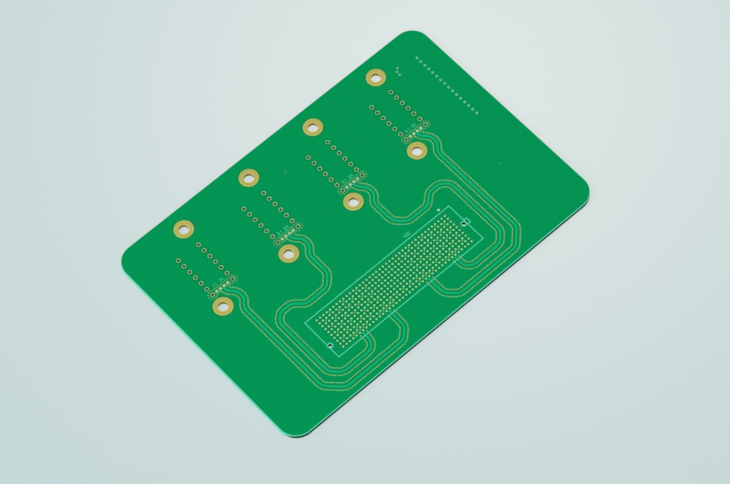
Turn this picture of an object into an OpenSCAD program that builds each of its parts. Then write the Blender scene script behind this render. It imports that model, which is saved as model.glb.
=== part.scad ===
// Bare circuit board: a drilled glass-epoxy laminate with a copper plane and a green
// coat on each side, four header footprints, a 40 x 10 connector array, and four
// trace pairs that run between them inside fences of ground vias.
// Origin: centre of the board's underside. X runs along the board, Z points up.

/* [Board] */
// Length of the board
board_l = 117.5; // [112:0.5:130]
// Width of the board
board_w = 80; // [78:0.5:90]
// Finished thickness, coats included
board_t = 1.6; // [0.8:0.1:3.2]
// Radius of the board's corners
corner_r = 6; // [1:0.5:9]
// Thickness of each copper layer
copper_t = 0.04; // [0.03:0.005:0.07]
// Thickness of the coat over copper
coat_t = 0.03; // [0.02:0.005:0.05]
// Thickness of the printed legend
legend_t = 0.02; // [0.01:0.005:0.04]
// Distance from the board's edge to the copper planes
plane_setback = 0.5; // [0.3:0.1:1]

/* [Header footprints] */
// Number of header footprints
modules = 4; // [4:1:4]
// Distance from one footprint to the next
module_pitch = 25; // [24.5:0.25:26]
// Middle of the row of footprints along X
modules_x = -3.62; // [-4:0.01:-3]
// Distance from the board's upper edge to the middle of the header holes
header_inset = 20.93; // [20.4:0.01:22]
// Holes in each header column
header_rows = 7; // [5:1:8]
// Distance between holes in a column
header_pitch = 2.54; // [2.5:0.01:2.6]
// Distance between the two columns
column_gap = 7.62; // [7.4:0.02:7.8]
// Diameter of a header hole
header_hole_d = 0.8; // [0.7:0.05:0.95]
// Diameter of a header land
header_land_d = 1.4; // [1.3:0.05:1.8]
// Side of a square input pad
input_pad_w = 0.75; // [0.5:0.05:0.85]
// Distance between input pads
input_pad_pitch = 1.38; // [1.2:0.02:1.5]
// Offset of the input pads from the footprint's middle along X
input_pad_dx = -0.13; // [-0.2:0.01:0.1]

/* [Mounting holes] */
// Diameter of a mounting hole
mount_hole_d = 3.1; // [2.7:0.1:3.6]
// Diameter of a mounting land
mount_land_d = 6; // [5:0.1:6.2]
// Offset of a mounting hole from its footprint's middle along X
mount_dx = 4; // [3.9:0.05:4.2]
// Offset of a mounting hole from the header's middle along Y, upper row
upper_mount_dy = 14.47; // [14:0.01:14.9]
// Offset of a mounting hole from the header's middle along Y, lower row
lower_mount_dy = 12.52; // [12.3:0.01:12.7]
// Thickness of the copper plating in every hole
plating_t = 0.05; // [0.03:0.01:0.08]

/* [Connector] */
// Middle of the connector along X
connector_x = -3.765; // [-4:0.005:-3.5]
// Distance from the board's lower edge to the middle of the connector
connector_inset = 19.095; // [18.9:0.005:19.6]
// Columns of pads
connector_columns = 40; // [40:1:40]
// Rows of pads
connector_rows = 10; // [8:1:10]
// Distance between pads
connector_pitch = 1.27; // [1.2:0.01:1.28]
// Diameter of a connector pad
connector_pad_d = 0.62; // [0.5:0.02:0.7]
// Diameter of an alignment hole
peg_hole_d = 1.2; // [1.15:0.05:1.3]
// Distance that the coat stands back from an alignment hole
peg_pullback = 0.17; // [0.16:0.01:0.2]
// Offset of the left alignment hole from the outline's end along X
left_peg_inset = 0.54; // [0.5:0.01:0.6]
// Offset of the left alignment hole from the connector's middle along Y
left_peg_dy = -2.97; // [-3.2:0.01:-2.8]
// Offset of the right alignment hole from the outline's end along X
right_peg_inset = 0.83; // [0.8:0.01:0.9]
// Offset of the right alignment hole from the connector's middle along Y
right_peg_dy = 0.07; // [-0.1:0.01:0.2]
// Length of the printed outline
outline_l = 55.7; // [55:0.1:56.5]
// Width of the printed outline
outline_w = 14.7; // [14.5:0.1:15]

/* [Traces and fences] */
// Width of one track
track_w = 0.24; // [0.15:0.01:0.28]
// Distance between the middles of a pair's two tracks
track_gap = 0.4; // [0.36:0.01:0.46]
// Width of the channel that each pair runs in
channel_w = 1.5; // [1.3:0.05:1.6]
// Radius of the traces' bends
bend_r = 3.2; // [2:0.1:3.25]
// Drop of a trace below the lowest header holes before its first bend
first_drop = 1.8; // [1.8:0.05:2]
// Sideways step of the first bend
bulge = 2.25; // [2.25:0.05:2.6]
// Length of the straight between the first bend and the bend back
bulge_leg = 3; // [2.8:0.05:3.4]
// Distance from the board's lower edge to the outer pairs' lane
lane_inset = 3.26; // [2.8:0.02:3.4]
// Distance from the outer pairs' lane to the inner pairs' lane
lane_gap = 4.01; // [3.8:0.01:4.1]
// Height of the step in the inner pairs' upper lane
hump = 3.07; // [2.8:0.01:3.2]
// Where that step begins, from the footprint's middle along X
hump_dx = 11.03; // [10:0.01:11.2]
// Where the inner pairs turn down, from the footprint's middle along X
turn_dx = 20.74; // [20.4:0.01:20.8]
// Distance from a pair's middle to its fence
fence_offset = 1.15; // [1.1:0.01:1.2]
// Distance between fence vias
fence_pitch = 0.655; // [0.6:0.005:0.9]
// Outer diameter of a fence via
via_land_d = 0.4; // [0.36:0.01:0.44]
// Inner diameter of a fence via
via_hole_d = 0.16; // [0.1:0.01:0.2]
// Height that a fence via's plated rim stands above the coat
via_rim_t = 0.02; // [0.01:0.005:0.04]

/* [Loose vias] */
// Vias in the column near the board's end
column_vias = 16; // [8:1:16]
// Offset of the column from the last upper mounting hole along X
column_dx = 13.42; // [13.2:0.01:13.5]
// Offset of the column's first via from that hole along Y
column_dy = -3.34; // [-3.6:0.01:-3]
// Distance between the column's vias
column_via_pitch = 1.75; // [1.5:0.05:1.8]
// Diameter of their lands
column_land_d = 0.75; // [0.6:0.05:0.9]
// Diameter of their holes
column_hole_d = 0.3; // [0.2:0.05:0.4]
// Diameter of a single small via's land
small_land_d = 0.6; // [0.4:0.05:0.6]
// Diameter of a single small via's hole
small_hole_d = 0.2; // [0.15:0.05:0.3]

/* [Legend] */
// Width of a printed line
line_w = 0.22; // [0.15:0.01:0.3]
// Width of the ring printed round an alignment hole
ring_w = 0.12; // [0.1:0.01:0.2]
// Height of a printed numeral
numeral_h = 1.1; // [0.9:0.05:1.3]

/* [Hidden] */
$fn = 32;
eps = 0.01;

// Heights, from the underside up
skin_t = copper_t + coat_t;
core_bottom = skin_t;
core_top = board_t - skin_t;
copper_top = board_t - coat_t;
channel_floor = board_t - copper_t;

coat_clearance = 0.05;
plane_clearance = 0.3;
joint_clearance = 0.02;

// Places of the groups, from the board's edges
header_y = board_w / 2 - header_inset;
connector_y = -board_w / 2 + connector_inset;
connector_top = connector_y + outline_w / 2;

MASK_GREEN = [0.02, 0.55, 0.30];
TRACK_TEAL = [0.08, 0.70, 0.46];
GOLD = [0.83, 0.72, 0.38];
PAD_GOLD = [0.74, 0.86, 0.55];
VIA_GOLD = [0.66, 0.82, 0.50];
COPPER = [0.72, 0.45, 0.25];
CORE_GREEN = [0.16, 0.38, 0.30];
LEGEND_WHITE = [0.62, 0.90, 0.78];

// ---- Places ----

function module_x(k) = modules_x + (k - (modules + 1) / 2) * module_pitch;
header_span = (header_rows - 1) * header_pitch;
lowest_row_y = header_y - header_span / 2;

function header_points(k) = [
    for (side = [-1, 1], row = [0 : header_rows - 1])
        [module_x(k) + side * column_gap / 2, lowest_row_y + row * header_pitch]
];

function upper_mount(k) = [module_x(k) + mount_dx, header_y + upper_mount_dy];
function lower_mount(k) = [module_x(k) - mount_dx, header_y - lower_mount_dy];
function all_modules() = [for (k = [1 : modules]) k];

function input_pad_points(k) = [
    for (i = [-1.5 : 1 : 1.5]) [module_x(k) + input_pad_dx + i * input_pad_pitch, lowest_row_y]
];

function pad_x(column) = connector_x + (column - (connector_columns - 1) / 2) * connector_pitch;
function pad_y(row) = connector_y + (row - (connector_rows - 1) / 2) * connector_pitch;

// The alignment holes lie just inside the outline's two ends
peg_points = [
    [connector_x - outline_l / 2 + left_peg_inset, connector_y + left_peg_dy],
    [connector_x + outline_l / 2 - right_peg_inset, connector_y + right_peg_dy]
];

column_top = upper_mount(modules) + [column_dx, column_dy];
column_points = [for (i = [0 : column_vias - 1]) column_top - [0, i * column_via_pitch]];
trio_points = [for (p = [[6.86, -1.97], [5.86, -2.9], [5.8, -4.15]]) upper_mount(modules) + p];
stray_points = [header_y_point([0.67, 8.73]), connector_point([48.315, 7.605])];
function header_y_point(p) = [modules_x, header_y] + p;
function connector_point(p) = [connector_x, connector_y] + p;
small_vias = concat(trio_points, stray_points);

// ---- Trace routes ----

// The place between two pad columns where each pair enters the connector
ENTRY_COLUMNS = [13.5, 5.5, 33.5, 25.5];
function entry_x(k) = pad_x(ENTRY_COLUMNS[k - 1]);
route_end_y = pad_y(0) - connector_pitch * 0.4;

// Each corner is [x, y, length cut off each side of it at 45 degrees]
outer_lane_y = -board_w / 2 + lane_inset;
inner_lane_y = outer_lane_y + lane_gap;
first_leg_end_y = lowest_row_y - first_drop - 2 * bulge - bulge_leg;
// The upper lane divides the room between the first leg and the connector's outline
upper_lane_y = connector_top + 0.277 * (first_leg_end_y - connector_top);
hump_y = upper_lane_y + hump;

// Corner cuts of the lanes, as multiples of the bend's radius
outer_cuts = bend_r * [1.525, 1.0125];
inner_cuts = bend_r * [1.047, 0.75, 0.984, 0.603];
// The first cut is limited by the straight that it shares with the first leg's last bend
inner_first_cut = min(inner_cuts[0], first_leg_end_y - upper_lane_y - 2 * bend_r * tan(22.5));

track_start_gap = 0.45;
function first_leg(x) = [
    [x, lowest_row_y - track_start_gap, 0],
    [x, lowest_row_y - first_drop, 0],
    [x + bulge, lowest_row_y - first_drop - bulge, 0],
    [x + bulge, lowest_row_y - first_drop - bulge - bulge_leg, 0],
    [x, first_leg_end_y, 0]
];

function outer_route(x, to_x) = concat(first_leg(x), [
    [x, outer_lane_y, outer_cuts[0]],
    [to_x, outer_lane_y, outer_cuts[1]],
    [to_x, route_end_y, 0]
]);

function inner_route(x, to_x, way) = concat(first_leg(x), [
    [x, upper_lane_y, inner_first_cut],
    [x + way * hump_dx, upper_lane_y, 0],
    [x + way * (hump_dx + hump), hump_y, 0],
    [x + way * turn_dx, hump_y, inner_cuts[1]],
    [x + way * turn_dx, inner_lane_y, inner_cuts[2]],
    [to_x, inner_lane_y, inner_cuts[3]],
    [to_x, route_end_y, 0]
]);

function corners(k) =
    k == 1 || k == modules ? outer_route(module_x(k), entry_x(k))
    : inner_route(module_x(k), entry_x(k), k == 2 ? -1 : 1);

function unit(v) = v / norm(v);
function flat(p) = [p[0], p[1]];

// Cuts each corner that asks for it
function chamfered(c) = [
    for (i = [0 : len(c) - 1])
        if (c[i][2] == 0) flat(c[i])
        else each [
            flat(c[i]) - c[i][2] * unit(flat(c[i]) - flat(c[i - 1])),
            flat(c[i]) + c[i][2] * unit(flat(c[i + 1]) - flat(c[i]))
        ]
];

// Replaces each inner point by an arc of radius r, and moves the whole path d to its left
BEND_STEPS = 4;
function turn(a, b, c) = let (u = unit(b - a), v = unit(c - b))
    atan2(u[0] * v[1] - u[1] * v[0], u * v);
function left_of(a, b) = let (u = unit(b - a)) [-u[1], u[0]];
function rounded(p, r, d) = [
    p[0] + d * left_of(p[0], p[1]),
    for (i = [1 : len(p) - 2])
        let (
            angle = turn(p[i - 1], p[i], p[i + 1]),
            way = sign(angle),
            start = p[i] - r * tan(abs(angle) / 2) * unit(p[i] - p[i - 1]),
            centre = start + way * r * left_of(p[i - 1], p[i]),
            from = atan2(start[1] - centre[1], start[0] - centre[0])
        )
        for (s = [0 : BEND_STEPS])
            let (a = from + angle * s / BEND_STEPS) centre + (r - way * d) * [cos(a), sin(a)],
    p[len(p) - 1] + d * left_of(p[len(p) - 2], p[len(p) - 1])
];

function route(k, d = 0) = rounded(chamfered(corners(k)), bend_r, d);
function reversed(p) = [for (i = [len(p) - 1 : -1 : 0]) p[i]];

// Points at equal steps along a path
function lengths(p, i = 0, sum = 0) =
    i == len(p) - 1 ? [sum] : concat([sum], lengths(p, i + 1, sum + norm(p[i + 1] - p[i])));
function spaced(p, pitch) =
    let (
        at = lengths(p),
        xs = [for (i = [0 : len(p) - 1]) [at[i], p[i][0]]],
        ys = [for (i = [0 : len(p) - 1]) [at[i], p[i][1]]],
        count = floor(at[len(at) - 1] / pitch)
    )
    [for (i = [0 : count]) [lookup(i * pitch, xs), lookup(i * pitch, ys)]];

// Fence vias stand clear of the bare window and of the vias round each footprint
function clear_of_window(p) =
    abs(p[0] - connector_x) > window_l / 2 + via_land_d / 2
    || abs(p[1] - connector_y) > window_w / 2 + via_land_d / 2;
function clear_of_footprint(k, p) =
    min([for (q = footprint_points(k)) norm(p - q)]) > via_land_d + joint_clearance;
function fence_points(k) = [
    for (side = [-1, 1], p = spaced(route(k, side * fence_offset), fence_pitch))
        if (clear_of_window(p) && clear_of_footprint(k, p)) p
];

// Vias in an arc round the outer side of each lowest header hole, and in two rows between
arc_r = 1.27;
via_row_step = 0.68;
function footprint_points(k) =
    let (x = module_x(k), y = lowest_row_y)
    concat(
        [for (side = [-1, 1], a = [-105 : 35 : 105])
            [x + side * (column_gap / 2 + arc_r * cos(a)), y + arc_r * sin(a)]],
        [for (i = [-4 : 4]) [x + i * via_row_step, y + 1.03]],
        [for (side = [-1, 1], i = [0 : 2]) [x + side * (2.85 - i * via_row_step), y - 0.95]]
    );

// ---- Flat outlines ----

module at(points) for (p = points) translate(p) children();

module board_outline(inset = 0) {
    r = corner_r - inset;
    x = board_l / 2 - corner_r;
    y = board_w / 2 - corner_r;
    square([2 * x, 2 * (y + r)], center = true);
    square([2 * (x + r), 2 * y], center = true);
    at([[-x, -y], [x, -y], [-x, y], [x, y]]) circle(r = r);
}

module mount_circles(d) for (k = all_modules()) at([upper_mount(k), lower_mount(k)]) circle(d = d);
module header_circles(d) for (k = all_modules()) at(header_points(k)) circle(d = d);
module loose_via_circles(column_d, small_d) {
    at(column_points) circle(d = column_d);
    at(small_vias) circle(d = small_d);
}
module peg_circles(d) at(peg_points) circle(d = d);
module connector_circles(d)
    for (i = [0 : connector_columns - 1], j = [0 : connector_rows - 1])
        translate([pad_x(i), pad_y(j)]) circle(d = d);
module input_squares(w) for (k = all_modules()) at(input_pad_points(k)) square(w, center = true);

// Bare window in the top plane, where the connector's pads stand
window_edge = 0.62;
window_l = (connector_columns - 1) * connector_pitch + 2 * window_edge;
window_w = (connector_rows - 1) * connector_pitch + 2 * window_edge;
module connector_window(inset = 0)
    translate([connector_x, connector_y])
        square([window_l - 2 * inset, window_w - 2 * inset], center = true);

module channels(inset = 0) {
    half = channel_w / 2 - inset;
    for (k = all_modules()) polygon(concat(route(k, -half), reversed(route(k, half))));
}

// Each track leaves its pair at the end and stops just short of its own pad
module track(k, side) {
    middle = side * track_gap / 2;
    from = [entry_x(k) - middle, route_end_y];
    pad = [entry_x(k) - side * connector_pitch / 2, pad_y(0)];
    way = unit(pad - from);
    end = pad - (connector_pad_d / 2 + joint_clearance + track_w / 4) * way;
    across = track_w / 2 * [-way[1], way[0]];
    polygon(concat(
        route(k, middle - track_w / 2),
        [end - across, end + across],
        reversed(route(k, middle + track_w / 2))
    ));
}
module tracks(k) for (side = [-1, 1]) track(k, side);

// ---- Board ----

module laminate()
    color(CORE_GREEN) translate([0, 0, core_bottom])
        linear_extrude(core_top - core_bottom) difference() {
            board_outline();
            mount_circles(mount_hole_d + 2 * plating_t);
            header_circles(header_hole_d + 2 * plating_t);
            loose_via_circles(column_hole_d + 2 * plating_t, small_hole_d + 2 * plating_t);
            peg_circles(peg_hole_d);
        }

// Holes that both copper planes have
module plane_holes() {
    mount_circles(mount_land_d + 2 * joint_clearance);
    header_circles(header_land_d + 2 * plane_clearance);
    loose_via_circles(column_land_d + 2 * joint_clearance, small_land_d + 2 * joint_clearance);
    peg_circles(peg_hole_d + 2 * (peg_pullback + plane_clearance));
}

module top_plane_shape() difference() {
    board_outline(plane_setback);
    plane_holes();
    input_squares(input_pad_w + 2 * plane_clearance);
    connector_window();
    channels();
}

module bottom_plane_shape() difference() {
    board_outline(plane_setback);
    plane_holes();
}

module ground_plane_top()
    color(COPPER) translate([0, 0, core_top]) linear_extrude(copper_t) top_plane_shape();

module ground_plane_bottom()
    color(COPPER) translate([0, 0, coat_t]) linear_extrude(copper_t) bottom_plane_shape();

module land_openings(clearance) {
    mount_circles(mount_land_d + 2 * clearance);
    header_circles(header_land_d + 2 * clearance);
    loose_via_circles(column_land_d + 2 * clearance, small_land_d + 2 * clearance);
    peg_circles(peg_hole_d + 2 * peg_pullback);
}

// The coat lies on the laminate, climbs over the copper and sinks where there is none
module solder_mask_top()
    color(MASK_GREEN) difference() {
        translate([0, 0, core_top]) linear_extrude(skin_t) difference() {
            board_outline();
            land_openings(coat_clearance);
            input_squares(input_pad_w + 2 * coat_clearance);
            connector_circles(connector_pad_d + 2 * coat_clearance);
            for (k = all_modules()) tracks(k);
        }
        translate([0, 0, core_top]) linear_extrude(copper_t) top_plane_shape();
        translate([0, 0, channel_floor]) linear_extrude(skin_t) {
            connector_window(coat_t);
            channels(coat_t);
        }
    }

module solder_mask_bottom()
    color(MASK_GREEN) difference() {
        linear_extrude(skin_t) difference() {
            board_outline();
            land_openings(coat_clearance);
        }
        translate([0, 0, coat_t]) linear_extrude(copper_t) bottom_plane_shape();
    }

// ---- Plated holes ----

// A plated wall through the board with a flat land at each end
module plated_hole(hole_d, land_d) {
    hole_r = hole_d / 2;
    wall_r = hole_r + plating_t;
    land_r = land_d / 2;
    rotate_extrude() polygon([
        [hole_r, coat_t], [land_r, coat_t], [land_r, core_bottom], [wall_r, core_bottom],
        [wall_r, core_top], [land_r, core_top], [land_r, copper_top], [hole_r, copper_top]
    ]);
}

module mounting_lands_upper()
    color(GOLD) at([for (k = all_modules()) upper_mount(k)]) plated_hole(mount_hole_d, mount_land_d);

module mounting_lands_lower()
    color(GOLD) at([for (k = all_modules()) lower_mount(k)]) plated_hole(mount_hole_d, mount_land_d);

module header_barrels(k)
    color(GOLD) at(header_points(k)) plated_hole(header_hole_d, header_land_d);

module via_row() color(VIA_GOLD) at(column_points) plated_hole(column_hole_d, column_land_d);
module via_trio() color(VIA_GOLD) at(trio_points) plated_hole(small_hole_d, small_land_d);
module stray_vias() color(VIA_GOLD) at(stray_points) plated_hole(small_hole_d, small_land_d);

// ---- Pads ----

module input_pads(k)
    color(PAD_GOLD) translate([0, 0, core_top])
        linear_extrude(copper_t) at(input_pad_points(k)) square(input_pad_w, center = true);

module connector_pads()
    color(PAD_GOLD) translate([0, 0, core_top])
        linear_extrude(copper_t) connector_circles(connector_pad_d);

// ---- Traces, fences and small vias ----

module trace_pair(k)
    color(TRACK_TEAL) translate([0, 0, core_top]) linear_extrude(skin_t) tracks(k);

module via_rims(points, floor_z)
    translate([0, 0, floor_z]) linear_extrude(via_rim_t) at(points) difference() {
        circle(d = via_land_d);
        circle(d = via_hole_d);
    }

module ground_fence(k) color(VIA_GOLD) via_rims(fence_points(k), board_t);
module footprint_fence(k) color(VIA_GOLD) via_rims(footprint_points(k), board_t);

// Which gaps between pads hold a via: five under each pair's entry, every other gap of one row
// in the middle of the connector, and a sparse lattice to its left and right
entry_reach = 2.5;
middle_from = connector_columns / 3;
middle_to = 0.6 * connector_columns;
lattice_step = 4;
function near_entry(i) = len([for (c = ENTRY_COLUMNS) if (abs(i + 0.5 - c) < entry_reach) 1]) > 0;
function in_middle(i) = i > middle_from && i < middle_to;
function has_via(i, j) =
    j == 0 ? near_entry(i)
    : in_middle(i) ? j == 1 && i % 2 == 1
    : (i + 2 * j) % lattice_step == lattice_step - 1;
via_gaps = [
    for (i = [0 : connector_columns - 2], j = [0 : connector_rows - 2]) if (has_via(i, j)) [i, j]
];

module neck_and_rim() difference() {
    reach = connector_pitch / sqrt(2) - connector_pad_d / 2 - coat_clearance - joint_clearance;
    union() {
        circle(d = via_land_d);
        rotate(45) translate([0, -neck_w / 2]) square([reach, neck_w]);
    }
    circle(d = via_hole_d);
}
neck_w = 0.16;

module connector_vias()
    color(VIA_GOLD) translate([0, 0, channel_floor]) linear_extrude(copper_t)
        for (g = via_gaps)
            translate([pad_x(g[0] + 0.5), pad_y(g[1] + 0.5)]) neck_and_rim();

// ---- Legend ----

module printed() color(LEGEND_WHITE) translate([0, 0, board_t]) linear_extrude(legend_t) children();

module frame_line(l, w) difference() {
    square([l + line_w, w + line_w], center = true);
    square([l - line_w, w - line_w], center = true);
}

// Keeps print off the vias that it would cross
module via_keepout(low, high) {
    keep = via_land_d + 2 * joint_clearance;
    for (k = all_modules(), p = fence_points(k))
        if (p[1] > low && p[1] < high) translate(p) circle(d = keep);
}

module connector_outline() {
    low = connector_y - outline_w / 2;
    printed() difference() {
        union() {
            translate([connector_x, connector_y]) frame_line(outline_l, outline_w);
            translate([connector_x + outline_l / 2 + 0.535, connector_y + 0.09]) frame_line(1.07, 1.74);
        }
        peg_circles(ring_d + 2 * joint_clearance);
        via_keepout(low - 0.4, low + 0.4);
    }
}

ring_hole_d = peg_hole_d + 2 * (peg_pullback + joint_clearance);
ring_d = ring_hole_d + 2 * ring_w;
module hole_rings()
    printed() difference() {
        peg_circles(ring_d);
        peg_circles(ring_hole_d);
    }

module pin_one_mark()
    printed() translate([pad_x(connector_columns - 1), connector_y + outline_w / 2 + 1])
        polygon([[-0.5, 0.35], [0.5, 0.35], [0, -0.35]]);

// Plain numerals made of straight strokes: [x, y, across?] of each stroke on a 2 x 4 grid
STROKES = [
    [0, 4, true], [1, 2, false], [1, 0, false], [0, 0, true],
    [0, 0, false], [0, 2, false], [0, 2, true]
];
DIGITS = [
    [0, 1, 2, 3, 4, 5], [1, 2], [0, 1, 6, 4, 3], [0, 1, 6, 2, 3], [5, 6, 1, 2],
    [0, 5, 6, 2, 3], [0, 5, 4, 3, 2, 6], [0, 1, 2], [0, 1, 2, 3, 4, 5, 6], [6, 5, 0, 1, 2, 3]
];
stroke_w = 0.16;
module digit(n) {
    half = numeral_h / 2 - stroke_w / 2;
    wide = numeral_h * 0.4;
    for (s = DIGITS[n])
        let (x = STROKES[s][0] * wide, y = STROKES[s][1] * half / 2)
            translate([x, y])
                square(STROKES[s][2] ? [wide + stroke_w, stroke_w] : [stroke_w, half + stroke_w]);
}
function digits_of(n) = n < 10 ? [n] : concat(digits_of(floor(n / 10)), [n % 10]);
module number(n) {
    each_w = numeral_h * 0.4 + stroke_w + 0.16;
    d = digits_of(n);
    for (i = [0 : len(d) - 1]) translate([(i - len(d) / 2) * each_w, 0]) digit(d[i]);
}

module pad_numbers()
    printed() for (k = all_modules()) {
        translate([module_x(k) - 1.4, lowest_row_y + 1.45]) number(10 * k + 1);
        translate([module_x(k) + 1.1, lowest_row_y + 1.45]) number(10 * k + 4);
    }

module connector_number()
    printed() translate([connector_x + 12.6, connector_y + outline_w / 2 + 0.75])
        number(connector_columns * connector_rows);

laminate();
ground_plane_top();
ground_plane_bottom();
solder_mask_top();
solder_mask_bottom();
mounting_lands_upper();
mounting_lands_lower();
header_barrels(1);  // header_barrels_1
header_barrels(2);  // header_barrels_2
header_barrels(3);  // header_barrels_3
header_barrels(4);  // header_barrels_4
input_pads(1);  // input_pads_1
input_pads(2);  // input_pads_2
input_pads(3);  // input_pads_3
input_pads(4);  // input_pads_4
trace_pair(1);  // trace_pair_1
trace_pair(2);  // trace_pair_2
trace_pair(3);  // trace_pair_3
trace_pair(4);  // trace_pair_4
ground_fence(1);  // ground_fence_1
ground_fence(2);  // ground_fence_2
ground_fence(3);  // ground_fence_3
ground_fence(4);  // ground_fence_4
footprint_fence(1);  // footprint_fence_1
footprint_fence(2);  // footprint_fence_2
footprint_fence(3);  // footprint_fence_3
footprint_fence(4);  // footprint_fence_4
connector_pads();
connector_vias();
via_row();
via_trio();
stray_vias();
connector_outline();
pin_one_mark();
hole_rings();
pad_numbers();
connector_number();
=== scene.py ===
"""Bare circuit board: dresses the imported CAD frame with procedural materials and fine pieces."""

import math

import bmesh
import bpy
from mathutils import Matrix, Vector


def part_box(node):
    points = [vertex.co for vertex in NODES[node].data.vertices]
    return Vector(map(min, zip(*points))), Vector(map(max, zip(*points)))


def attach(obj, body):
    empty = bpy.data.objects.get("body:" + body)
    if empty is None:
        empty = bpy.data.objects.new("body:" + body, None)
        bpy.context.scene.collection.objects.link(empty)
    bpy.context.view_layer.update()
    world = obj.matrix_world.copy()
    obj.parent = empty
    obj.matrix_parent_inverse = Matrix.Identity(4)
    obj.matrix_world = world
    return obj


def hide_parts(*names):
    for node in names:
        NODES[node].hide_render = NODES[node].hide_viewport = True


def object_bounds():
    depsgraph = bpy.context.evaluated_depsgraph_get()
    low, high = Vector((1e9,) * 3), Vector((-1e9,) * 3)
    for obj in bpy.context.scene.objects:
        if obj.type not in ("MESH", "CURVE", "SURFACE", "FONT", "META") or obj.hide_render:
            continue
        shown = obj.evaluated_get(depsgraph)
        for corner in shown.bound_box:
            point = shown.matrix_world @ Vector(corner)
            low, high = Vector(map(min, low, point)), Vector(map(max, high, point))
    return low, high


bl_info = {
    "name": "Bare circuit board",
    "version": (1, 0, 0),
    "blender": (4, 5, 0),
    "location": "3D View > Sidebar > Circuit board",
    "description": "Dresses a bare circuit board with its coat, pads, vias, traces and legend",
    "category": "Object",
}

MM = 0.001
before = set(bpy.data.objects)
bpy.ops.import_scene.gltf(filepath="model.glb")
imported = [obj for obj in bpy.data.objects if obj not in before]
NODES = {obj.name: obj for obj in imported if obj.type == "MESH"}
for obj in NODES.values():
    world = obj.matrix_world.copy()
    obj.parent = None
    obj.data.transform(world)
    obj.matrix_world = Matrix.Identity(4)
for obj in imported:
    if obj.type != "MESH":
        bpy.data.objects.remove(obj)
CAD_LOW, CAD_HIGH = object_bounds()
BODY = "root"
MODULES = (1, 2, 3, 4)
# The footprints' grid, in mm
MODULE_PITCH = 25.0
HEADER_PITCH = 2.54
HEADER_COLUMN = 3.81
LAND_R = 0.7
PIN_R = 0.4
ANTIPAD_R = 1.0
WIDE_LAND_R = 2.96
CORNER_R = 6.0
# Where the floor's painted pool of light is palest, and how far from there it starts and ends to dull,
# in mm
FLOOR_LIGHT = (53.0, 18.0)
FLOOR_DULLS = (-40.0, 190.0)
# The floor's half width, in metres
FLOOR_HALF = 3.0
# Heights, in mm: the lower and upper lands' outer faces, and where the coat drops into a channel
LAND_FACES = (0.03, 1.57)
CHANNEL_EDGE = (1.565, 1.59)


# ---- Shader maths ----


class Sock:
    """A shader value: arithmetic on it adds Math nodes to its tree."""

    def __init__(self, mat, out):
        self.mat, self.out = mat, out

    def _math(self, op, *others, clamp=False):
        return self.mat.math(op, self, *others, clamp=clamp)

    def __add__(self, o):
        return self._math("ADD", o)

    def __sub__(self, o):
        return self._math("SUBTRACT", o)

    def __mul__(self, o):
        return self._math("MULTIPLY", o)

    def __radd__(self, o):
        return self.mat.math("ADD", o, self)

    def __rsub__(self, o):
        return self.mat.math("SUBTRACT", o, self)

    def __rmul__(self, o):
        return self.mat.math("MULTIPLY", o, self)

    def less(self, o):
        return self._math("LESS_THAN", o)

    def more(self, o):
        return self._math("GREATER_THAN", o)

    def abs(self):
        return self._math("ABSOLUTE")

    def clamp(self):
        return self.mat.math("ADD", self, 0.0, clamp=True)

    def min(self, o):
        return self._math("MINIMUM", o)

    def max(self, o):
        return self._math("MAXIMUM", o)

    def power(self, o):
        return self._math("POWER", o)

    def wave(self, period):
        """Distance to the nearest multiple of period."""
        return self._math("PINGPONG", period / 2)

    def smooth(self, low, high):
        """0 at low and 1 at high, with soft ends."""
        return self.mat.node(
            "ShaderNodeMapRange",
            "Result",
            interpolation_type="SMOOTHSTEP",
            Value=self,
            **{"From Min": low, "From Max": high},
        )


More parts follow.
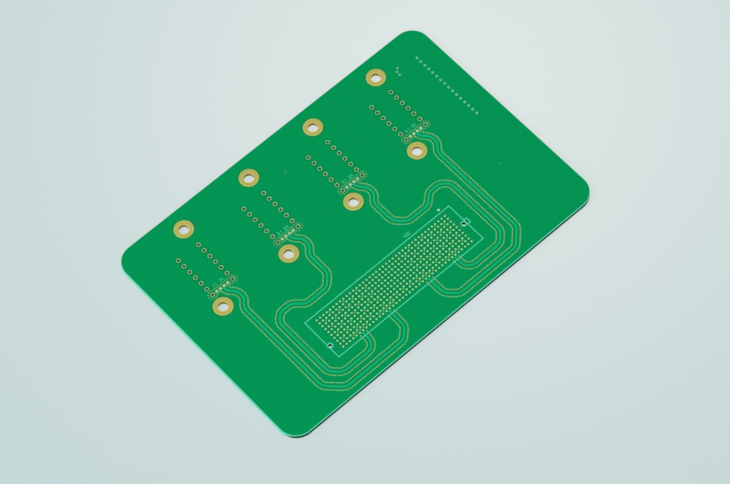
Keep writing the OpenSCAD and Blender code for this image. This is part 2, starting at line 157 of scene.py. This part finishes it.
class Mat:
    """A material under construction, with a Principled shader."""

    def __init__(self, name):
        self.material = bpy.data.materials.new(name)
        self.material.use_nodes = True
        self.tree = self.material.node_tree
        self.shader = next(n for n in self.tree.nodes if n.type == "BSDF_PRINCIPLED")

    def put(self, socket, value):
        if isinstance(value, Sock):
            self.tree.links.new(value.out, socket)
        elif hasattr(value, "__len__") and len(value) == 3 and len(socket.default_value) == 4:
            socket.default_value = (*value, 1.0)
        else:
            socket.default_value = value

    def node(self, kind, result, sockets=(), **values):
        """Any node: properties and inputs by name, giving one of its outputs."""
        n = self.tree.nodes.new(kind)
        for key, value in values.items():
            if key in n.inputs:
                self.put(n.inputs[key], value)
            else:
                setattr(n, key, value)
        for index, value in sockets:
            self.put(n.inputs[index], value)
        return Sock(self, n.outputs[result])

    def math(self, op, *values, clamp=False):
        return self.node(
            "ShaderNodeMath", "Value", list(enumerate(values)), operation=op, use_clamp=clamp
        )

    def place(self):
        """Object coordinates in millimetres, as three values."""
        at = self.node("ShaderNodeTexCoord", "Object")
        xyz = self.tree.nodes.new("ShaderNodeSeparateXYZ")
        self.tree.links.new(at.out, xyz.inputs[0])
        return at, [Sock(self, xyz.outputs[i]) * (1 / MM) for i in range(3)]

    def attribute(self, name):
        """A number that a piece's mesh keeps at each point."""
        return self.node("ShaderNodeAttribute", "Fac", attribute_name=name)

    def facing_up(self):
        """The surface's own slope: 1 facing up, 0 upright, -1 facing down."""
        n = self.tree.nodes.new("ShaderNodeTexCoord")
        xyz = self.tree.nodes.new("ShaderNodeSeparateXYZ")
        self.tree.links.new(n.outputs["Normal"], xyz.inputs[0])
        return Sock(self, xyz.outputs[2])

    def seen_directly(self):
        """1 for rays from the camera, from a mirror or through glass, 0 for light."""
        n = self.tree.nodes.new("ShaderNodeLightPath")
        camera, glossy, through = (
            Sock(self, n.outputs[f"Is {kind} Ray"]) for kind in ("Camera", "Glossy", "Transmission")
        )
        return camera.max(glossy).max(through)

    def noise(self, at, scale, detail=2.0, roughness=0.5):
        return self.node(
            "ShaderNodeTexNoise", "Fac", Vector=at, Scale=scale, Detail=detail, Roughness=roughness
        )

    def mix(self, share, a, b):
        """Colour a at share 0, b at share 1."""
        return self.node(
            "ShaderNodeMix",
            2,
            [(0, share), (6, a), (7, b)],
            data_type="RGBA",
        )

    def bump(self, height, distance_mm):
        return self.node(
            "ShaderNodeBump", "Normal", Height=height, Distance=distance_mm * MM, Strength=1.0
        )

    def finish(self, color, roughness, normal=None, **others):
        """Links the varying inputs and sets the constant ones."""
        s = self.shader.inputs
        self.put(s["Base Color"], color)
        self.put(s["Roughness"], roughness)
        if normal is not None:
            self.put(s["Normal"], normal)
        for key, value in others.items():
            self.put(s[key.replace("_", " ")], value)
        return self.material


def linear(rgb):
    """A linear colour from an sRGB one, each value from 0 to 1."""
    return tuple(c / 12.92 if c <= 0.04045 else ((c + 0.055) / 1.055) ** 2.4 for c in rgb)


def byte(r, g, b):
    """A linear colour from an sRGB one, each value from 0 to 255."""
    return linear((r / 255, g / 255, b / 255))


def dress(material, *names):
    for n in names:
        data = NODES[n].data
        data.materials.clear()
        data.materials.append(material)


def put_color(name, text, value):
    return bpy.props.FloatVectorProperty(
        name=name, description=text, default=value, subtype="COLOR", size=3, min=0.0, max=1.0
    )


def put_size(name, text, value_mm, low=0.0, high=1000.0):
    return bpy.props.FloatProperty(
        name=name,
        description=text,
        default=value_mm * MM,
        min=low * MM,
        max=high * MM,
        unit="LENGTH",
        precision=5,
    )


# ---- Forms ----


def island_centres(node):
    """The middle of each separate solid of a CAD node, in X and Y."""
    mesh = NODES[node].data
    parent = list(range(len(mesh.vertices)))

    def root(i):
        while parent[i] != i:
            parent[i] = parent[parent[i]]
            i = parent[i]
        return i

    # vertices at one place are one, because the file splits them between faces
    seen = {}
    for v in mesh.vertices:
        key = tuple(round(c / MM * 1000) for c in v.co)
        parent[v.index] = seen.setdefault(key, v.index)
    for e in mesh.edges:
        i, j = (root(k) for k in e.vertices)
        parent[i] = j
    groups = {}
    for v in mesh.vertices:
        groups.setdefault(root(v.index), []).append(v.co)
    centres = []
    for co in groups.values():
        low = [min(c[i] for c in co) for i in (0, 1)]
        high = [max(c[i] for c in co) for i in (0, 1)]
        centres.append(((low[0] + high[0]) / 2, (low[1] + high[1]) / 2))
    return sorted(centres)


def turned_form(name, profile, segments, closed):
    """A solid of revolution about Z. Each profile point is (radius, height, shade, tint) in mm.
    The mesh keeps shade, painted shade from 0 in the dark to 1 in the open, and tint, from -1
    at a hole's lip, where a highlight is painted, to 1 at a land's rim, for the material to read."""
    points, faces, rings, notes = [], [], [], []
    for radius, height, *note in profile:
        ring = []
        for i in range(segments if radius else 1):
            a = 2 * math.pi * i / segments
            ring.append(len(points))
            points.append((radius * MM * math.cos(a), radius * MM * math.sin(a), height * MM))
            notes.append((*note, 0.0)[:2])
        rings.append(ring)
    pairs = list(zip(rings, rings[1:]))
    if closed:
        pairs.append((rings[-1], rings[0]))
    for one, two in pairs:
        for i in range(segments):
            j = (i + 1) % segments
            quad = [one[i % len(one)], one[j % len(one)], two[j % len(two)], two[i % len(two)]]
            faces.append(list(dict.fromkeys(quad)))
    mesh = bpy.data.meshes.new(name)
    mesh.from_pydata(points, [], faces)
    for i, word in enumerate(("shade", "tint")):
        values = [n[i] for n in notes]
        mesh.attributes.new(word, "FLOAT", "POINT").data.foreach_set("value", values)
    for face in mesh.polygons:
        face.use_smooth = True
    bm = bmesh.new()
    bm.from_mesh(mesh)
    bmesh.ops.recalc_face_normals(bm, faces=bm.faces)
    bm.to_mesh(mesh)
    bm.free()
    return bpy.data.objects.new(name, mesh)


def add_socket(tree, name, kind, in_out="INPUT"):
    return tree.interface.new_socket(name=name, in_out=in_out, socket_type=kind)


def repeat_tree():
    """Geometry nodes that stand one form on each point, in slightly different sizes."""
    tree = bpy.data.node_groups.new("repeat form", "GeometryNodeTree")
    add_socket(tree, "Points", "NodeSocketGeometry")
    add_socket(tree, "Form", "NodeSocketObject")
    add_socket(tree, "Material", "NodeSocketMaterial")
    add_socket(tree, "Smallest", "NodeSocketFloat")
    add_socket(tree, "Seed", "NodeSocketInt")
    add_socket(tree, "Pieces", "NodeSocketGeometry", "OUTPUT")
    new, link = tree.nodes.new, tree.links.new
    given, result = new("NodeGroupInput"), new("NodeGroupOutput")
    form, stand = new("GeometryNodeObjectInfo"), new("GeometryNodeInstanceOnPoints")
    size, turn = new("FunctionNodeRandomValue"), new("FunctionNodeRandomValue")
    real, paint = new("GeometryNodeRealizeInstances"), new("GeometryNodeSetMaterial")
    across = new("ShaderNodeCombineXYZ")
    size.data_type = turn.data_type = "FLOAT"
    size.inputs[3].default_value = 1.0
    turn.inputs[3].default_value = 2 * math.pi
    link(given.outputs["Form"], form.inputs["Object"])
    link(given.outputs["Points"], stand.inputs["Points"])
    link(form.outputs["Geometry"], stand.inputs["Instance"])
    link(given.outputs["Smallest"], size.inputs[2])
    link(given.outputs["Seed"], size.inputs["Seed"])
    link(given.outputs["Seed"], turn.inputs["Seed"])
    link(size.outputs[1], across.inputs[0])
    link(size.outputs[1], across.inputs[1])
    across.inputs[2].default_value = 1.0
    link(across.outputs[0], stand.inputs["Scale"])
    spin = new("ShaderNodeCombineXYZ")
    link(turn.outputs[1], spin.inputs[2])
    link(spin.outputs[0], stand.inputs["Rotation"])
    link(stand.outputs["Instances"], real.inputs["Geometry"])
    link(real.outputs["Geometry"], paint.inputs["Geometry"])
    link(given.outputs["Material"], paint.inputs["Material"])
    link(paint.outputs["Geometry"], result.inputs["Pieces"])
    return tree


def made_by(tree, source, name, **inputs):
    """Runs a node tree on source once and keeps what it makes as a plain mesh object."""
    scene = bpy.context.scene
    scene.collection.objects.link(source)
    modifier = source.modifiers.new("made", "NODES")
    modifier.node_group = tree
    for item in tree.interface.items_tree:
        if item.in_out == "INPUT" and item.name in inputs:
            modifier[item.identifier] = inputs[item.name]
    bpy.context.view_layer.update()
    depsgraph = bpy.context.evaluated_depsgraph_get()
    mesh = bpy.data.meshes.new_from_object(source.evaluated_get(depsgraph))
    source.modifiers.remove(modifier)
    bpy.data.objects.remove(source)
    piece = bpy.data.objects.new(name, mesh)
    scene.collection.objects.link(piece)
    if not mesh.polygons:
        raise RuntimeError(f"{name} came out empty")
    return piece


def stand_on(piece, slot, *nodes):
    """Ends a piece: it rides on the board and takes the place of its CAD nodes."""
    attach(piece, BODY)
    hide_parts(*nodes)
    return piece


def repeated(name, node, form, z, material, slot, smallest=1.0, seed=1):
    """Stands form at the middle of each of the node's solids, at height z in metres."""
    mesh = bpy.data.meshes.new(name + " points")
    mesh.from_pydata([(x, y, z) for x, y in island_centres(node)], [], [])
    source = bpy.data.objects.new(name + " points", mesh)
    tree = bpy.data.node_groups.get("repeat form") or repeat_tree()
    piece = made_by(
        tree, source, name, Form=form, Material=material, Smallest=smallest, Seed=seed
    )
    return stand_on(piece, slot, node)


def softened(name, node, width_mm, material, slot):
    """A copy of a CAD node with its sharp edges rounded over."""
    mesh = NODES[node].data.copy()
    bm = bmesh.new()
    bm.from_mesh(mesh)
    bmesh.ops.remove_doubles(bm, verts=bm.verts, dist=0.001 * MM)
    bmesh.ops.dissolve_limit(bm, angle_limit=math.radians(1), verts=bm.verts, edges=bm.edges)
    top = max(v.co.z for v in bm.verts)
    edges = [
        e for e in bm.edges
        if len(e.link_faces) == 2
        and e.calc_face_angle(0) > math.radians(40)
        and all(v.co.z > top - 0.001 * MM for v in e.verts)
    ]
    bmesh.ops.bevel(
        bm, geom=edges, offset=width_mm * MM, segments=2, profile=0.5, affect="EDGES",
        clamp_overlap=True,
    )
    bmesh.ops.triangulate(bm, faces=bm.faces)
    bm.to_mesh(mesh)
    bm.free()
    shade = mesh.attributes.new("shade", "FLOAT", "POINT")
    shade.data.foreach_set("value", [1.0] * len(mesh.vertices))
    mesh.materials.clear()
    mesh.materials.append(material)
    piece = bpy.data.objects.new(name, mesh)
    bpy.context.scene.collection.objects.link(piece)
    return stand_on(piece, slot, node)


# ---- Settings ----


class BOARD_PG_looks(bpy.types.PropertyGroup):
    """Colours of the board's materials."""

    mask_over_copper: put_color("Mask over copper", "Coat with copper under it", byte(0, 148, 83))
    mask_over_core: put_color("Mask over laminate", "Coat with no copper under it", byte(10, 132, 66))
    # the laminate's own green, drawn darker as painted shade for the board's shaded sides
    core: put_color("Laminate", "Glass-epoxy at the cut edges", byte(12, 74, 58))
    # the pale edge line is partly the bare routed edge and partly a painted highlight
    edge_line: put_color("Edge line", "Pale line at the cut edge", byte(120, 238, 204))
    # painted shade: the glass-epoxy inside the alignment holes, drawn near black
    shaded_hole_wall: put_color("Hole wall", "Glass-epoxy inside an alignment hole", byte(6, 44, 26))
    # painted highlight: the far sides' edge line is drawn whiter than the near ones
    far_line: put_color("Far edge line", "The same line on the two far sides", byte(206, 255, 242))
    # a darker, yellower green ring round each wide land
    halo: put_color("Halo", "Thin coat round a wide land", byte(34, 120, 44))
    bare_patch: put_color("Bare patch", "Between the input pads", byte(64, 136, 74))
    rim: put_color("Land rim", "Outer rim of a wide land", byte(186, 205, 112))
    # painted highlight on the lip of a plated hole
    lip: put_color("Hole lip", "Lip of a plated hole", byte(240, 226, 150))
    # painted shade inside the plated holes
    bore_shade: put_color("Bore", "Inside of a mounting hole", byte(66, 60, 22))
    pin_bore_shade: put_color("Pin bore", "Inside of a header hole or a via", byte(34, 68, 22))
    small_gold: put_color("Header gold", "Gold finish of the header lands", byte(128, 200, 134))
    copper: put_color("Copper", "Copper planes, seen as thin rims under the coat", byte(112, 140, 62))
    track: put_color("Track", "Coated copper track", byte(0, 200, 138))
    gold: put_color("Gold", "Gold finish of the wide lands", byte(207, 186, 86))
    pad: put_color("Pads", "Gold finish of the round pads", byte(144, 236, 162))
    square_pad: put_color("Square pads", "Gold finish of the input pads", byte(182, 232, 168))
    via: put_color("Vias", "Gold finish of the fences' vias", byte(158, 240, 162))
    dull_via: put_color("Footprint vias", "Gold finish of the footprints' vias", byte(128, 206, 146))
    row_via: put_color("Row vias", "Gold finish of the loose vias", byte(128, 238, 178))
    dim_via: put_color("Stray vias", "Coated stray vias", byte(40, 176, 120))
    neck: put_color("Necks", "Gold finish of the connector's vias", byte(150, 205, 128))
    ink: put_color("Legend", "Printed legend", byte(92, 227, 183))
    faint_ink: put_color("Small legend", "Small printed numerals", byte(64, 200, 150))
    thick_ink: put_color("Thick legend", "The solid mark beside pin one", byte(176, 255, 228))


class BOARD_PG_stage(bpy.types.PropertyGroup):
    """The floor, the lamps and the camera."""

    floor_color: put_color("Floor", "Plain pale floor", byte(227, 233, 232))
    # the floor's colour outside its painted pool of light
    outer_floor: put_color("Outer floor", "The floor away from its palest place", byte(197, 215, 214))
    floor_glow: bpy.props.FloatProperty(
        name="Floor glow", description="Share of the floor's colour that no shadow reaches",
        default=0.88, min=0.0, max=1.0,
    )
    floor_drop: put_size("Floor drop", "How far the floor lies below the board", 0.02, 0, 500)
    aim_x: put_size("Aim X", "Where the camera looks, along X", -1.592, -500, 500)
    aim_y: put_size("Aim Y", "Where the camera looks, along Y", -5.757, -500, 500)
    aim_z: put_size("Aim Z", "Where the camera looks, along Z", 1.675, -500, 500)
    distance: put_size("Distance", "From the aim to the camera", 892.4, 100, 5000)
    azimuth: bpy.props.FloatProperty(
        name="Azimuth", description="Turn of the camera round the board",
        default=math.radians(-36.85), subtype="ANGLE",
    )
    elevation: bpy.props.FloatProperty(
        name="Elevation", description="Height of the camera over the horizon",
        default=math.radians(61.37), subtype="ANGLE",
    )
    roll: bpy.props.FloatProperty(
        name="Roll", description="Turn of the camera about its own axis",
        default=math.radians(5.64), subtype="ANGLE",
    )
    lens_mm: bpy.props.FloatProperty(
        name="Lens", description="Focal length", default=152.47, min=20.0, max=400.0
    )


class BOARD_PG_settings(bpy.types.PropertyGroup):
    """All of the board's settings."""

    looks: bpy.props.PointerProperty(type=BOARD_PG_looks)
    stage: bpy.props.PointerProperty(type=BOARD_PG_stage)


def settings():
    return bpy.context.scene.board_settings


# ---- Materials ----


def near(value, centre, half, soft):
    """1 within half of centre, fading to 0 over soft."""
    return 1.0 - (value - centre).abs().smooth(half, half + soft)


def to_module(value):
    """Distance along X, in mm, from the nearest footprint's middle."""
    first = (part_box("header_barrels_1")[0].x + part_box("header_barrels_1")[1].x) / 2 / MM
    return (value - first).wave(MODULE_PITCH)


def past_edge(x, y):
    """Distance, in mm, outside the board's rounded outline, and below 0 inside it."""
    out_x = x.abs() - (CAD_HIGH[0] / MM - CORNER_R)
    out_y = y.abs() - (CAD_HIGH[1] / MM - CORNER_R)
    past_x, past_y = out_x.max(0.0), out_y.max(0.0)
    return (past_x * past_x + past_y * past_y).power(0.5) + out_x.max(out_y).min(0.0) - CORNER_R


def land_halo(x, y):
    """1 at the rim of a wide land, fading to 0 a little way off."""
    halo = None
    for row in ("upper", "lower"):
        low, high = (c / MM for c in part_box(f"mounting_lands_{row}"))
        aside = (x - (low.x + high.x - (len(MODULES) - 1) * MODULE_PITCH) / 2).wave(MODULE_PITCH)
        along = y - (low.y + high.y) / 2
        far = (aside * aside + along * along).power(0.5)
        one = (1.0 - far.smooth(3.0, 3.75)) * x.more(low.x - 1.0) * x.less(high.x + 1.0)
        halo = one if halo is None else halo.max(one)
    return halo


def mask_material(looks):
    m = Mat("solder mask")
    at, (x, y, z) = m.place()
    low, high = (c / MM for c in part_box("header_barrels_1"))
    pads_low, pads_high = (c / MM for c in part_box("input_pads_1"))
    aside = to_module(x)
    # bare laminate under the coat: the lowered channels, and a ring round each header land
    lowered = 1.0 - z.smooth(*CHANNEL_EDGE)
    along = (y - (low.y + LAND_R)).wave(HEADER_PITCH)
    column = (aside - HEADER_COLUMN).abs()
    ring = 1.0 - (column * column + along * along).power(0.5).smooth(ANTIPAD_R - 0.1, ANTIPAD_R + 0.45)
    ring = ring * near(y, (low.y + high.y) / 2, (high.y - low.y) / 2 + 0.3, 0.1)
    bare = near(aside, 0.0, 2.75, 0.15) * near(y, (pads_low.y + pads_high.y) / 2, 0.62, 0.12)
    # the pattern repeats along X, and ends with the last footprint
    on_footprint = x.less(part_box("header_barrels_4")[1].x / MM + 1.0)
    ring = ring * on_footprint
    # the pads are on the top face only
    bare = bare * on_footprint * z.more(1.0)
    weave = m.noise(at, 900.0, 2.0) - 0.5
    patch = m.noise(at, 28.0, 2.0) - 0.5
    pores = m.noise(at, 5200.0, 1.0)
    specks = m.noise(at, 260.0, 1.0, 0.2).smooth(0.78, 0.82)
    deep = (lowered.max(ring) + patch * 0.22).clamp()
    color = m.mix(deep, looks.mask_over_copper, looks.mask_over_core)
    color = m.mix(bare * 0.8, color, looks.bare_patch)
    color = m.mix(specks * 0.35, color, looks.mask_over_core)
    # a darker, yellower green ring round each wide land
    color = m.mix(land_halo(x, y) * 0.8, color, looks.halo)
    # a pale line on the coat's upright faces and along its outer rim, partly the bare routed edge and
    # partly a painted highlight; the two far sides have a thinner and whiter line, drawn whiter as a
    # painted highlight
    far = (x * 0.68 + y).smooth(-4.0, 4.0)
    edge = (1.0 - m.facing_up().abs()).max((past_edge(x, y) - far * 0.11).smooth(-0.24, -0.1))
    line = m.mix(far, looks.edge_line, looks.far_line)
    color = m.mix(edge * 0.9, color, line)
    return m.finish(
        color,
        0.42 + patch * 0.2 + weave * 0.1,
        m.bump(weave * 0.7 + pores * 0.3, 0.003),
        Specular_IOR_Level=0.02,
    )


def laminate_material(looks):
    m = Mat("laminate")
    at, (x, y, z) = m.place()
    plies = (z * 5.0).wave(2.0)
    fibre = m.noise(at, 2500.0, 3.0)
    routed = m.noise(at, 420.0, 2.0)
    shade = (plies * 0.2 + fibre * 0.45 + routed * 0.2).clamp()
    pale = tuple(c * 1.5 for c in looks.core)
    color = m.mix(shade, looks.core, pale)
    lit_left_side = (x * -1.0).smooth(CAD_HIGH[0] / MM - 1.5, CAD_HIGH[0] / MM - 0.2)
    lit_ledge = m.facing_up().smooth(0.5, 0.9)
    # painted shade: the laminate more than 2 mm inside the outline, the alignment holes' walls, is
    # drawn near black
    color = m.mix(past_edge(x, y).less(-2.0) * 0.9, color, looks.shaded_hole_wall)
    # painted light: the top band of each cut side, the board's left side and the upward-facing ledges
    # are drawn in the pale edge line colour
    color = m.mix(z.smooth(1.22, 1.42).max(lit_left_side).max(lit_ledge) * 0.75, color, looks.edge_line)
    return m.finish(color, 0.75, m.bump(fibre + routed, 0.03), Specular_IOR_Level=0.2)


def metal_material(name, color, rough, bore_shade=None, metallic=0.55, grain_mm=0.0025):
    """Gold over copper: even and bright in the open, brown inside the holes as painted shade, with a
    painted highlight on each hole's lip.
    """
    m = Mat(name)
    at, _ = m.place()
    grain = m.noise(at, 1800.0, 3.0)
    cloud = m.noise(at, 240.0, 2.0)
    share = (grain * 0.6 + cloud * 0.4).clamp()
    tone = m.mix(share, tuple(c * 0.84 for c in color), tuple(min(c * 1.14, 1.0) for c in color))
    looks = settings().looks
    tint = m.attribute("tint")
    tone = m.mix(tint.clamp(), tone, looks.rim)
    # painted highlight on a hole's lip
    tone = m.mix((tint * -1.0).clamp(), tone, looks.lip)
    # painted shade: where the mesh's shade is low, inside the holes and on the lands' sides, the gold
    # gives way to the dark bore colour
    tone = m.mix(m.attribute("shade").clamp(), bore_shade or looks.pin_bore_shade, tone)
    return m.finish(
        tone, rough + grain * 0.15, m.bump(grain, grain_mm), Metallic=metallic
    )


def plain_material(name, color, rough):
    m = Mat(name)
    at, _ = m.place()
    mottle = m.noise(at, 1200.0, 2.0)
    cloud = m.noise(at, 150.0, 2.0)
    share = (mottle * 0.6 + cloud * 0.4).clamp()
    tone = m.mix(share, tuple(c * 0.9 for c in color), tuple(min(c * 1.08, 1.0) for c in color))
    return m.finish(tone, rough + mottle * 0.1, m.bump(mottle, 0.003), Specular_IOR_Level=0.1)


# ---- Operators ----


class BOARD_OT_coats(bpy.types.Operator):
    """Gives the laminate, the copper planes and both green coats their materials"""

    bl_idname = "board.coats"
    bl_label = "Laminate and coats"

    def execute(self, context):
        looks = settings().looks
        dress(mask_material(looks), "solder_mask_top", "solder_mask_bottom")
        dress(laminate_material(looks), "laminate")
        dress(
            plain_material("copper", looks.copper, 0.35),
            "ground_plane_top", "ground_plane_bottom",
        )
        return {"FINISHED"}


def barrel(hole_r, land_r, lip, rim=0.0, lip_highlight=0.0, open_to=0.1):
    """Profile of a plated hole with a land at each end, from the outer top edge inwards.
    Its wall is bright down to open_to below each end and darker below that, as painted shade;
    lip_highlight is the share of painted highlight on each lip."""
    low, high = LAND_FACES
    half = [
        (land_r, high - 0.04, 0.8, rim),
        (land_r, high - 0.01, 0.95, rim),
        (land_r - 0.02, high, 1.0, rim),
    ]
    if rim:
        half += [(land_r - 0.45, high, 1.0, rim), (land_r - 0.6, high, 1.0, 0.0)]
        half += [(hole_r + 0.32, high, 1.0, 0.0), (hole_r + 0.24, high, 1.0, lip_highlight)]
    half += [
        (hole_r + lip, high, 1.0, lip_highlight),
        (hole_r + lip * 0.3, high - lip * 0.3, 0.9, lip_highlight),
        (hole_r, high - lip, 0.8, lip_highlight),
        (hole_r, high - lip - open_to, 0.7, lip_highlight * 0.5),
        (hole_r, high - lip - 1.6 * open_to, 0.2, 0.0),
    ]
    under = [(r, low + high - z, *rest) for r, z, *rest in reversed(half)]
    wall = hole_r + 0.05
    return half + under + [(wall, low + 0.04, 0.4, 0.0), (wall, high - 0.04, 0.4, 0.0)]


class BOARD_OT_lands(bpy.types.Operator):
    """Stands a plated barrel with its lands in each mounting hole and header hole"""

    bl_idname = "board.lands"
    bl_label = "Mounting lands and header barrels"

    def execute(self, context):
        looks = settings().looks
        gold = metal_material("gold", looks.gold, 0.4, looks.bore_shade)
        small = metal_material("header gold", looks.small_gold, 0.4)
        wide = turned_form("wide land", barrel(1.55, WIDE_LAND_R, 0.05, 1.0, -0.5, 0.42), 96, True)
        pin = turned_form("pin barrel", barrel(PIN_R, LAND_R, 0.03), 32, True)
        for row in ("upper", "lower"):
            name = f"mounting_lands_{row}"
            repeated(f"{name}_plated", name, wide, 0.0, gold, "gold")
        for k in MODULES:
            name = f"header_barrels_{k}"
            repeated(f"{name}_plated", name, pin, 0.0, small, "gold")
        return {"FINISHED"}


class BOARD_OT_fences(bpy.types.Operator):
    """Stands a plated rim on each via of the fences and footprints, and plates the loose vias"""

    bl_idname = "board.fences"
    bl_label = "Vias"

    def execute(self, context):
        looks = settings().looks
        metal = metal_material("via gold", looks.via, 0.45)
        dull = metal_material("footprint via gold", looks.dull_via, 0.45)
        loose = metal_material("loose via gold", looks.row_via, 0.45)
        # the shade values paint the via's middle and its outer side dark, as painted shade
        rim = turned_form(
            "via rim",
            [
                (0, 0.003, 0.0), (0.07, 0.003, 0.0), (0.08, 0.013, 0.5), (0.095, 0.02, 1.0),
                (0.185, 0.02, 1.0), (0.2, 0.01, 0.95), (0.2, 0, 0.8), (0, 0, 0.5),
            ],
            20, False,
        )
        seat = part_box("ground_fence_1")[0].z
        for k in MODULES:
            for kind, gold in (("ground", metal), ("footprint", dull)):
                name = f"{kind}_fence_{k}"
                repeated(f"{name}_rims", name, rim, seat, gold, "pad_gold", 0.94, k)
        dim = metal_material("stray via coat", looks.dim_via, 0.5, looks.dim_via)
        row = turned_form("row via", barrel(0.15, 0.375, 0.02), 24, True)
        lone = turned_form("lone via", barrel(0.1, 0.3, 0.02), 20, True)
        for name, form, gold in (
            ("via_row", row, loose), ("via_trio", lone, loose), ("stray_vias", lone, dim)
        ):
            repeated(f"{name}_plated", name, form, 0.0, gold, "pad_gold")
        softened("connector_vias_necks", "connector_vias", 0.012, metal_material(
            "neck gold", looks.neck, 0.45), "pad_gold")
        return {"FINISHED"}


class BOARD_OT_pads(bpy.types.Operator):
    """Lays a slightly domed pad at each place of the connector, and softens the input pads"""

    bl_idname = "board.pads"
    bl_label = "Pads"

    def execute(self, context):
        metal = metal_material("pad gold", settings().looks.pad, 0.35)
        # the shade values darken the pad's side, as painted shade
        pad = turned_form(
            "round pad",
            [
                (0, 0.04, 1.0), (0.18, 0.0395, 1.0), (0.26, 0.037, 1.0), (0.295, 0.031, 1.0),
                (0.31, 0.018, 0.9), (0.31, 0, 0.7), (0, 0, 0.5),
            ],
            28, False,
        )
        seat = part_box("connector_pads")[0].z
        repeated("connector_pads_domed", "connector_pads", pad, seat, metal, "pad_gold", 0.97, 11)
        square = metal_material("square pad gold", settings().looks.square_pad, 0.35)
        for k in MODULES:
            softened(f"input_pads_{k}_soft", f"input_pads_{k}", 0.02, square, "pad_gold")
        return {"FINISHED"}


class BOARD_OT_tracks(bpy.types.Operator):
    """Rounds the shoulders of the coated tracks"""

    bl_idname = "board.tracks"
    bl_label = "Tracks"

    def execute(self, context):
        coat = plain_material("tracks", settings().looks.track, 0.4)
        for k in MODULES:
            softened(f"trace_pair_{k}_soft", f"trace_pair_{k}", 0.03, coat, "track")
        return {"FINISHED"}


class BOARD_OT_legend(bpy.types.Operator):
    """Gives the printed marks their ink"""

    bl_idname = "board.legend"
    bl_label = "Legend"

    def execute(self, context):
        looks = settings().looks
        for name, color, nodes in (
            ("legend ink", looks.ink, ("connector_outline", "hole_rings")),
            ("faint ink", looks.faint_ink, ("pad_numbers", "connector_number")),
            ("thick ink", looks.thick_ink, ("pin_one_mark",)),
        ):
            dress(plain_material(name, color, 0.6), *nodes)
        return {"FINISHED"}


class BOARD_OT_stage(bpy.types.Operator):
    """Builds the floor, the lamps, the sky and the camera"""

    bl_idname = "board.stage"
    bl_label = "Stage"

    def execute(self, context):
        s = settings().stage
        scene = context.scene
        half, drop = FLOOR_HALF, -s.floor_drop
        mesh = bpy.data.meshes.new("floor")
        mesh.from_pydata(
            [(-half, -half, drop), (half, -half, drop), (half, half, drop), (-half, half, drop)],
            [], [(0, 1, 2, 3)],
        )
        floor = bpy.data.objects.new("floor", mesh)
        scene.collection.objects.link(floor)
        m = Mat("floor")
        _, (x, y, _) = m.place()
        # a painted pool of light: palest beyond the board's far side, and duller all round
        off_x, off_y = x - FLOOR_LIGHT[0], y - FLOOR_LIGHT[1]
        off = (off_x * off_x + off_y * off_y).power(0.5)
        tone = m.mix(off.smooth(*FLOOR_DULLS), s.floor_color, s.outer_floor)
        # what the camera and reflections see of it is mostly its own colour, with a faint shadow
        seen = m.seen_directly()
        black = (0.0, 0.0, 0.0)
        mesh.materials.append(m.finish(
            m.mix(seen * s.floor_glow, tone, black), 0.9,
            Emission_Color=m.mix(seen * s.floor_glow, black, tone),
            Emission_Strength=1.0, Specular_IOR_Level=0.1,
        ))

        world = bpy.data.worlds.new("sky")
        world.use_nodes = True
        sky = world.node_tree.nodes["Background"]
        sky.inputs["Color"].default_value = (0.93, 0.98, 1.0, 1.0)
        sky.inputs["Strength"].default_value = 0.55
        scene.world = world

        for name, spot, size, power in (
            ("key lamp", (-1.3, 0.5, 0.95), 1.0, 19.0),
            ("fill lamp", (0.9, -0.3, 1.1), 1.4, 4.0),
        ):
            data = bpy.data.lights.new(name, "AREA")
            data.energy, data.size = power, size
            lamp = bpy.data.objects.new(name, data)
            scene.collection.objects.link(lamp)
            lamp.location = spot
            lamp.rotation_euler = (-Vector(spot)).to_track_quat("-Z", "Y").to_euler()

        aim = Vector((s.aim_x, s.aim_y, s.aim_z))
        a, e = s.azimuth, s.elevation
        back = Vector((math.sin(a) * math.cos(e), -math.cos(a) * math.cos(e), math.sin(e)))
        data = bpy.data.cameras.new("camera")
        data.lens, data.sensor_width = s.lens_mm, 36.0
        data.clip_start, data.clip_end = 0.05, 20.0
        camera = bpy.data.objects.new("camera", data)
        scene.collection.objects.link(camera)
        turned = (-back).to_track_quat("-Z", "Y").to_matrix() @ Matrix.Rotation(-s.roll, 3, "Z")
        camera.matrix_world = Matrix.Translation(aim + back * s.distance) @ turned.to_4x4()
        scene.camera = camera
        scene.view_settings.view_transform = "Standard"
        return {"FINISHED"}


class BOARD_PT_panel(bpy.types.Panel):
    """Lists the board's steps"""

    bl_idname = "BOARD_PT_panel"
    bl_label = "Circuit board"
    bl_space_type = "VIEW_3D"
    bl_region_type = "UI"
    bl_category = "Circuit board"

    def draw(self, context):
        for step in STEPS:
            self.layout.operator(step.bl_idname)


STEPS = (
    BOARD_OT_coats, BOARD_OT_lands, BOARD_OT_fences, BOARD_OT_pads,
    BOARD_OT_tracks, BOARD_OT_legend, BOARD_OT_stage,
)
CLASSES = (BOARD_PG_looks, BOARD_PG_stage, BOARD_PG_settings, *STEPS, BOARD_PT_panel)


def register():
    for c in CLASSES:
        bpy.utils.register_class(c)
    bpy.types.Scene.board_settings = bpy.props.PointerProperty(type=BOARD_PG_settings)


def unregister():
    del bpy.types.Scene.board_settings
    for c in reversed(CLASSES):
        bpy.utils.unregister_class(c)


def main():
    register()
    for step in STEPS:
        group, name = step.bl_idname.split(".")
        getattr(getattr(bpy.ops, group), name)()


if __name__ == "__main__":
    main()
